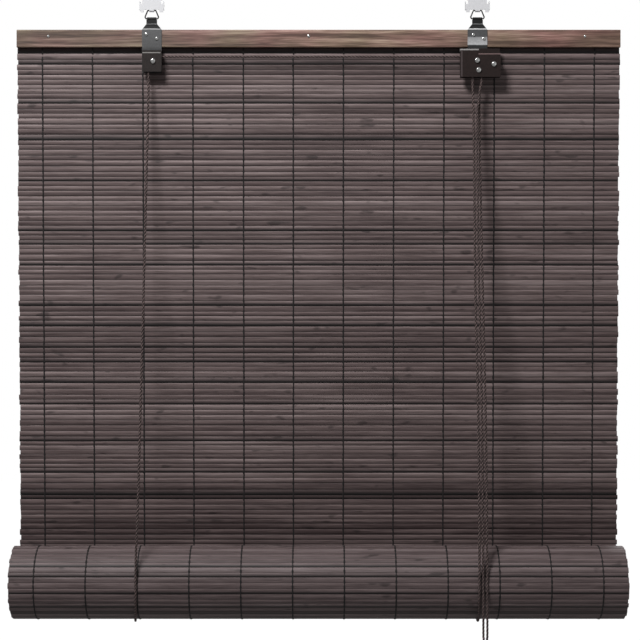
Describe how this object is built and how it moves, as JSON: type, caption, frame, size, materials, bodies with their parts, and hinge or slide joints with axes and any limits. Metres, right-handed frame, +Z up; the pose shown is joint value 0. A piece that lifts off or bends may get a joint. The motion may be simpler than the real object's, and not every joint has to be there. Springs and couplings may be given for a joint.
{
  "type": "bamboo roll up blind",
  "caption": "Bamboo roll up blind on a flat headrail, hung from hook brackets by wire rings, half rolled up on two lift cords with pulleys and a cord lock.",
  "frame": {"origin": "on the ceiling face of the brackets, midway between their two screw holes", "axes": "+X along the headrail to the right seen from the room, -Y to the room, +Z up"},
  "size_m": [1, 0.1411, 1.1205],
  "materials": {
    "white_steel": "satin white paint",
    "black_wire": "black",
    "headrail_wood": "stained, streaked",
    "bright_nail": "polished",
    "hanger_steel": "dark satin",
    "housing_steel": "dark brown enamel",
    "lock_steel": "plain",
    "wheel_plastic": "black moulded",
    "slat_wood": "dark stained bamboo",
    "black_thread": "spun thread",
    "cord_braid": "braided cord"
  },
  "bodies": {
    "brackets": {"left_hook_bracket": "white_steel", "right_hook_bracket": "white_steel"},
    "left_ring": {"left_wire_ring": "black_wire"},
    "right_ring": {"right_wire_ring": "black_wire"},
    "headrail": {"headrail": "headrail_wood", "headrail_nails": "bright_nail", "left_hanger": "hanger_steel", "right_hanger": "hanger_steel", "hanger_nails": "bright_nail", "left_pulley_housing": "housing_steel", "cord_lock_housing": "housing_steel", "left_pulley_axle": "bright_nail", "lock_pulley_axle": "bright_nail", "lock_roller_axle": "bright_nail", "lock_cam_axle": "bright_nail", "curtain_slats": "slat_wood", "held_slats": "slat_wood", "warp_threads": "black_thread", "cord_staples": "bright_nail", "cord_knots": "cord_braid", "left_cord_front": "cord_braid", "left_cord_back": "cord_braid", "right_cord_front": "cord_braid", "right_cord_back": "cord_braid", "cross_cord": "cord_braid", "right_cord_head": "cord_braid", "pull_cord_front": "cord_braid", "pull_cord_rear": "cord_braid"},
    "roll_carriage": {"left_cord_bight": "cord_braid", "right_cord_bight": "cord_braid"},
    "roll": {"blind_roll": "slat_wood", "roll_threads": "black_thread", "bottom_batten": "slat_wood"},
    "pull_end": {"pull_cord_coil": "cord_braid", "coil_tie": "cord_braid"},
    "left_wheel": {"left_pulley": "wheel_plastic"},
    "cross_wheel": {"cross_cord_pulley": "wheel_plastic"},
    "right_wheel": {"right_cord_pulley": "wheel_plastic"},
    "roller": {"lock_roller": "bright_nail"},
    "cam": {"lock_cam": "lock_steel"}
  },
  "joints": [
    {"name": "left_ring_swing", "type": "hinge", "parent": "brackets", "child": "left_ring", "pos_m": [-0.2695, -0.012, -0.0226], "axis": [1, 0, 0], "range_deg": [-40, 40]},
    {"name": "right_ring_swing", "type": "hinge", "parent": "brackets", "child": "right_ring", "pos_m": [0.2695, -0.012, -0.0226], "axis": [1, 0, 0], "range_deg": [-40, 40]},
    {"name": "blind_swing", "type": "hinge", "parent": "brackets", "child": "headrail", "pos_m": [-0.2695, -0.012, -0.0226], "axis": [1, 0, 0], "range_deg": [-40, 40]},
    {"name": "roll_lift", "type": "slide", "parent": "headrail", "child": "roll_carriage", "axis": [0, 0, 1], "range_m": [0, 0.75], "deforming": ["curtain_slats", "warp_threads", "left_cord_front", "right_cord_front", "left_cord_back", "right_cord_back"]},
    {"name": "roll_turn", "type": "hinge", "parent": "roll_carriage", "child": "roll", "pos_m": [0, -0.0323, -0.964], "axis": [1, 0, 0], "range_deg": [-5, 709]},
    {"name": "cord_pull", "type": "slide", "parent": "headrail", "child": "pull_end", "axis": [0, 0, -1], "range_m": [0, 1.5], "deforming": ["pull_cord_front", "pull_cord_rear"]},
    {"name": "left_pulley_turn", "type": "hinge", "parent": "headrail", "child": "left_wheel", "pos_m": [-0.2669, -0.01665, -0.1073], "axis": [0, 1, 0], "continuous": true},
    {"name": "cross_pulley_turn", "type": "hinge", "parent": "headrail", "child": "cross_wheel", "pos_m": [0.2679, -0.01665, -0.1071], "axis": [0, 1, 0], "continuous": true},
    {"name": "right_pulley_turn", "type": "hinge", "parent": "headrail", "child": "right_wheel", "pos_m": [0.2679, -0.02255, -0.1071], "axis": [0, 1, 0], "continuous": true},
    {"name": "lock_roller_turn", "type": "hinge", "parent": "headrail", "child": "roller", "pos_m": [0.2702, -0.01665, -0.123], "axis": [0, 1, 0], "continuous": true},
    {"name": "lock_cam_swing", "type": "hinge", "parent": "headrail", "child": "cam", "pos_m": [0.2953, -0.01665, -0.1133], "axis": [0, 1, 0], "range_deg": [-35, 0]}
  ],
  "couplings": [
    {"joint": "left_ring_swing", "follows": "blind_swing", "ratio": 1},
    {"joint": "right_ring_swing", "follows": "blind_swing", "ratio": 1},
    {"joint": "roll_turn", "follows": "roll_lift", "rad_per_m": 16.393},
    {"joint": "cord_pull", "follows": "roll_lift", "ratio": 2}
  ]
}
